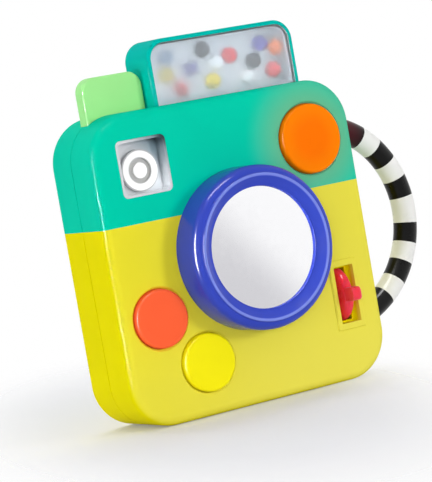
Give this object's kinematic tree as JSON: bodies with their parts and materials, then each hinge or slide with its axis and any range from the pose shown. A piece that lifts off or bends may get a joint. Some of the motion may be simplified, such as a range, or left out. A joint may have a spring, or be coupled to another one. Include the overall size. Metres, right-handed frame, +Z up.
{
  "type": "toy camera",
  "caption": "Chunky two-tone toy camera with a mirror lens, push buttons, a flash, a thumb wheel, a press-down tab, a bead-filled viewfinder and a striped carrying handle.",
  "frame": {"origin": "centre of the body's flat base, on the parting plane between front and rear shells", "axes": "+Z up, +Y from the lens face to the back, +X towards the carrying handle"},
  "size_m": [0.1717, 0.0562, 0.1624],
  "materials": {
    "teal_shell": "semi-gloss moulded",
    "yellow_shell": "semi-gloss moulded",
    "blue_ring": "semi-gloss moulded",
    "mirror": "polished acrylic mirror",
    "coral": "semi-gloss moulded",
    "button_yellow": "semi-gloss moulded",
    "orange": "translucent moulded",
    "silver": "vacuum metallised plastic",
    "white_lens": "milky moulded",
    "red": "semi-gloss moulded",
    "green": "satin moulded",
    "box_teal": "semi-gloss moulded",
    "window": "frosted clear",
    "bead_blue": "glossy",
    "bead_black": "glossy",
    "bead_purple": "glossy",
    "bead_yellow": "glossy",
    "bead_red": "glossy",
    "bead_white": "glossy",
    "bead_orange": "glossy",
    "handle_white": "satin moulded",
    "handle_black": "satin moulded",
    "steel": "zinc plated",
    "brass": "bare",
    "board": "solder mask",
    "black_plastic": "satin",
    "grey_plastic": "satin",
    "lamp": "clear epoxy",
    "cell": "printed sleeve left plain",
    "wire": "insulation",
    "backing": "moulded"
  },
  "bodies": {
    "body": {"front_shell_upper": "teal_shell", "front_shell_lower": "yellow_shell", "rear_shell_upper": "teal_shell", "rear_shell_lower": "yellow_shell", "shell_screws": "steel", "lens_ring": "blue_ring", "mirror": "mirror", "mirror_backing": "backing", "lens_screws": "steel", "coral_spring": "steel", "yellow_spring": "steel", "orange_spring": "steel", "switch_boards": "board", "tact_switches": "black_plastic", "board_screws": "steel", "leds": "lamp", "flash_reflector": "silver", "flash_lens": "white_lens", "wheel_axle": "steel", "wheel_housing": "yellow_shell", "click_leaf": "brass", "tab_spring": "steel", "tab_guide": "teal_shell", "viewfinder_frame": "box_teal", "front_window": "window", "rear_window": "window", "handle_tube": "handle_white", "handle_bands": "handle_black", "main_board": "board", "sound_chip": "black_plastic", "power_switch": "black_plastic", "speaker_frame": "steel", "speaker_cone": "black_plastic", "battery_tray": "grey_plastic", "battery_contacts": "steel", "batteries": "cell", "wires": "wire"},
    "coral_button": {"coral_button": "coral"},
    "yellow_button": {"yellow_button": "button_yellow"},
    "orange_button": {"orange_button": "orange"},
    "thumb_wheel": {"thumb_wheel": "red"},
    "shutter_tab": {"shutter_tab": "green"},
    "power_knob": {"power_knob": "handle_white"},
    "battery_door": {"battery_door": "yellow_shell", "door_screw": "steel"},
    "bead_1": {"bead_1": "bead_blue"},
    "bead_2": {"bead_2": "bead_black"},
    "bead_3": {"bead_3": "bead_purple"},
    "bead_4": {"bead_4": "bead_yellow"},
    "bead_5": {"bead_5": "bead_red"},
    "bead_6": {"bead_6": "bead_yellow"},
    "bead_7": {"bead_7": "bead_white"},
    "bead_8": {"bead_8": "bead_red"},
    "bead_9": {"bead_9": "bead_purple"},
    "bead_10": {"bead_10": "bead_orange"},
    "bead_11": {"bead_11": "bead_black"},
    "bead_12": {"bead_12": "bead_white"},
    "bead_13": {"bead_13": "bead_red"}
  },
  "joints": [
    {"name": "coral_press", "type": "slide", "parent": "body", "child": "coral_button", "axis": [0, 1, 0], "range_m": [0, 0.0025], "stiffness_N_per_m": 400, "springref_m": -0.001, "deforming": ["coral_spring"]},
    {"name": "yellow_press", "type": "slide", "parent": "body", "child": "yellow_button", "axis": [0, 1, 0], "range_m": [0, 0.0025], "stiffness_N_per_m": 400, "springref_m": -0.001, "deforming": ["yellow_spring"]},
    {"name": "orange_press", "type": "slide", "parent": "body", "child": "orange_button", "axis": [0, 1, 0], "range_m": [0, 0.0025], "stiffness_N_per_m": 400, "springref_m": -0.001, "deforming": ["orange_spring"]},
    {"name": "tab_press", "type": "slide", "parent": "body", "child": "shutter_tab", "axis": [0, 0, -1], "range_m": [0, 0.007], "stiffness_N_per_m": 120, "springref_m": -0.004, "deforming": ["tab_spring"]},
    {"name": "wheel_rock", "type": "hinge", "parent": "body", "child": "thumb_wheel", "pos_m": [0.0485, -0.0093, 0.038], "axis": [1, 0, 0], "range_deg": [-38, 38]},
    {"name": "power_slide", "type": "slide", "parent": "body", "child": "power_knob", "axis": [1, 0, 0], "range_m": [0, 0.006]},
    {"name": "door_lift", "type": "slide", "parent": "body", "child": "battery_door", "axis": [0, 1, 0], "range_m": [0, 0.02]},
    {"name": "bead_1_roll", "type": "slide", "parent": "body", "child": "bead_1", "axis": [0, 1, 0], "range_m": [-0.008, 0]},
    {"name": "bead_2_roll", "type": "slide", "parent": "body", "child": "bead_2", "axis": [0, 1, 0], "range_m": [0, 0.008]},
    {"name": "bead_3_roll", "type": "slide", "parent": "body", "child": "bead_3", "axis": [0, 1, 0], "range_m": [-0.008, 0]},
    {"name": "bead_4_roll", "type": "slide", "parent": "body", "child": "bead_4", "axis": [0, 1, 0], "range_m": [-0.008, 0]},
    {"name": "bead_5_roll", "type": "slide", "parent": "body", "child": "bead_5", "axis": [0, 1, 0], "range_m": [-0.008, 0]},
    {"name": "bead_6_roll", "type": "slide", "parent": "body", "child": "bead_6", "axis": [0, 1, 0], "range_m": [0, 0.008]},
    {"name": "bead_7_roll", "type": "slide", "parent": "body", "child": "bead_7", "axis": [0, 1, 0], "range_m": [0, 0.008]},
    {"name": "bead_8_roll", "type": "slide", "parent": "body", "child": "bead_8", "axis": [0, 1, 0], "range_m": [0, 0.008]},
    {"name": "bead_9_roll", "type": "slide", "parent": "body", "child": "bead_9", "axis": [0, 1, 0], "range_m": [0, 0.008]},
    {"name": "bead_10_roll", "type": "slide", "parent": "body", "child": "bead_10", "axis": [0, 1, 0], "range_m": [0, 0.008]},
    {"name": "bead_11_roll", "type": "slide", "parent": "body", "child": "bead_11", "axis": [0, 1, 0], "range_m": [0, 0.008]},
    {"name": "bead_12_roll", "type": "slide", "parent": "body", "child": "bead_12", "axis": [0, 1, 0], "range_m": [0, 0.008]},
    {"name": "bead_13_roll", "type": "slide", "parent": "body", "child": "bead_13", "axis": [0, 1, 0], "range_m": [0, 0.008]}
  ]
}
